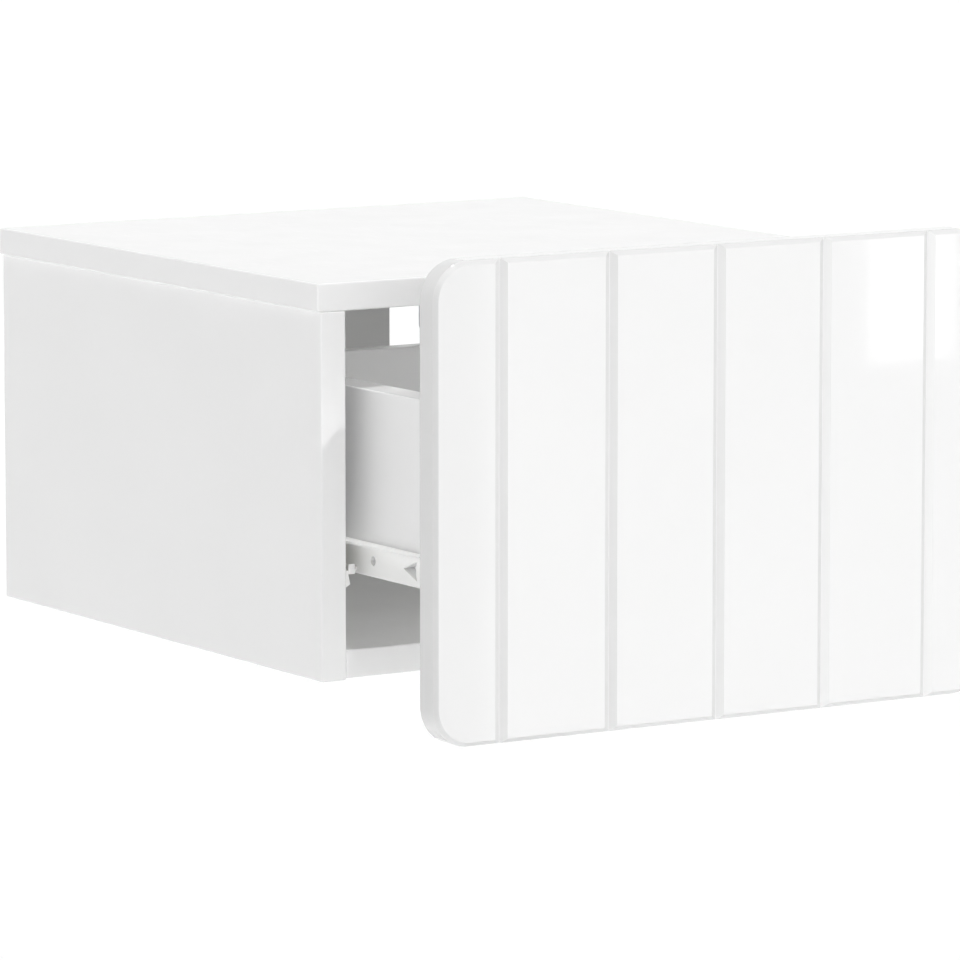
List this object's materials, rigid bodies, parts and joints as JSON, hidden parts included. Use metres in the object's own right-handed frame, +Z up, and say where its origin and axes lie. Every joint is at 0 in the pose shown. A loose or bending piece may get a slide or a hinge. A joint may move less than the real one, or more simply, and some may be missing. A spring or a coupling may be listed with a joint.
{
  "type": "floating nightstand",
  "caption": "Wall-hung nightstand: a white gloss board carcass and a grooved, round-cornered drawer without a handle, on roller runners, standing part open.",
  "frame": {"origin": "middle of the top panel's rear edge, on the wall plane", "axes": "+X to the right of someone who faces the drawer, +Y into the wall, +Z up; the drawer opens towards -Y"},
  "size_m": [0.35, 0.464, 0.25],
  "materials": {
    "white_gloss_board": "high-gloss white lacquer on board",
    "white_fibreboard": "satin white face on thin fibreboard",
    "white_coated_steel": "white epoxy powder coat",
    "zinc_plated_steel": "bright zinc plate",
    "zinc_casting": "plain zinc die casting",
    "nylon": "natural nylon"
  },
  "bodies": {
    "carcass": {"back_panel": "white_fibreboard", "bottom_panel": "white_gloss_board", "left_bottom_front_cam": "zinc_casting", "left_bottom_front_cam_bolt": "zinc_plated_steel", "left_bottom_rear_cam": "zinc_casting", "left_bottom_rear_cam_bolt": "zinc_plated_steel", "left_bracket_side_screw": "zinc_plated_steel", "left_bracket_top_screw": "zinc_plated_steel", "left_cabinet_roller_rivet": "zinc_plated_steel", "left_cabinet_runner": "white_coated_steel", "left_cabinet_runner_front_screw": "zinc_plated_steel", "left_cabinet_runner_rear_screw": "zinc_plated_steel", "left_side_panel": "white_gloss_board", "left_top_front_cam": "zinc_casting", "left_top_front_cam_bolt": "zinc_plated_steel", "left_top_rear_cam": "zinc_casting", "left_top_rear_cam_bolt": "zinc_plated_steel", "left_wall_bracket": "zinc_plated_steel", "right_bottom_front_cam": "zinc_casting", "right_bottom_front_cam_bolt": "zinc_plated_steel", "right_bottom_rear_cam": "zinc_casting", "right_bottom_rear_cam_bolt": "zinc_plated_steel", "right_bracket_side_screw": "zinc_plated_steel", "right_bracket_top_screw": "zinc_plated_steel", "right_cabinet_roller_rivet": "zinc_plated_steel", "right_cabinet_runner": "white_coated_steel", "right_cabinet_runner_front_screw": "zinc_plated_steel", "right_cabinet_runner_rear_screw": "zinc_plated_steel", "right_side_panel": "white_gloss_board", "right_top_front_cam": "zinc_casting", "right_top_front_cam_bolt": "zinc_plated_steel", "right_top_rear_cam": "zinc_casting", "right_top_rear_cam_bolt": "zinc_plated_steel", "right_wall_bracket": "zinc_plated_steel", "top_panel": "white_gloss_board"},
    "drawer": {"drawer_back": "white_gloss_board", "drawer_bottom": "white_fibreboard", "drawer_front": "white_gloss_board", "drawer_left_lower_cam": "zinc_casting", "drawer_left_lower_cam_bolt": "zinc_plated_steel", "drawer_left_side": "white_gloss_board", "drawer_left_upper_cam": "zinc_casting", "drawer_left_upper_cam_bolt": "zinc_plated_steel", "drawer_right_lower_cam": "zinc_casting", "drawer_right_lower_cam_bolt": "zinc_plated_steel", "drawer_right_side": "white_gloss_board", "drawer_right_upper_cam": "zinc_casting", "drawer_right_upper_cam_bolt": "zinc_plated_steel", "left_drawer_roller_rivet": "zinc_plated_steel", "left_drawer_runner": "white_coated_steel", "left_drawer_runner_front_screw": "zinc_plated_steel", "left_drawer_runner_rear_screw": "zinc_plated_steel", "right_drawer_roller_rivet": "zinc_plated_steel", "right_drawer_runner": "white_coated_steel", "right_drawer_runner_front_screw": "zinc_plated_steel", "right_drawer_runner_rear_screw": "zinc_plated_steel"},
    "left_cabinet_roller": {"left_cabinet_roller": "nylon"},
    "right_cabinet_roller": {"right_cabinet_roller": "nylon"},
    "left_drawer_roller": {"left_drawer_roller": "nylon"},
    "right_drawer_roller": {"right_drawer_roller": "nylon"}
  },
  "joints": [
    {"name": "drawer_slide", "type": "slide", "parent": "carcass", "child": "drawer", "axis": [0, -1, 0], "range_m": [-0.098, 0.09]},
    {"name": "left_cabinet_roller_spin", "type": "hinge", "parent": "carcass", "child": "left_cabinet_roller", "pos_m": [-0.153, -0.3195, -0.138], "axis": [1, 0, 0], "continuous": true},
    {"name": "left_drawer_roller_spin", "type": "hinge", "parent": "drawer", "child": "left_drawer_roller", "pos_m": [-0.15215, -0.209, -0.13885], "axis": [1, 0, 0], "continuous": true},
    {"name": "right_cabinet_roller_spin", "type": "hinge", "parent": "carcass", "child": "right_cabinet_roller", "pos_m": [0.153, -0.3195, -0.138], "axis": [1, 0, 0], "continuous": true},
    {"name": "right_drawer_roller_spin", "type": "hinge", "parent": "drawer", "child": "right_drawer_roller", "pos_m": [0.15215, -0.209, -0.13885], "axis": [1, 0, 0], "continuous": true}
  ],
  "couplings": [
    {"joint": "left_cabinet_roller_spin", "follows": "drawer_slide", "rad_per_m": 142.86},
    {"joint": "left_drawer_roller_spin", "follows": "drawer_slide", "rad_per_m": 162.6},
    {"joint": "right_cabinet_roller_spin", "follows": "drawer_slide", "rad_per_m": 142.86},
    {"joint": "right_drawer_roller_spin", "follows": "drawer_slide", "rad_per_m": 162.6}
  ]
}
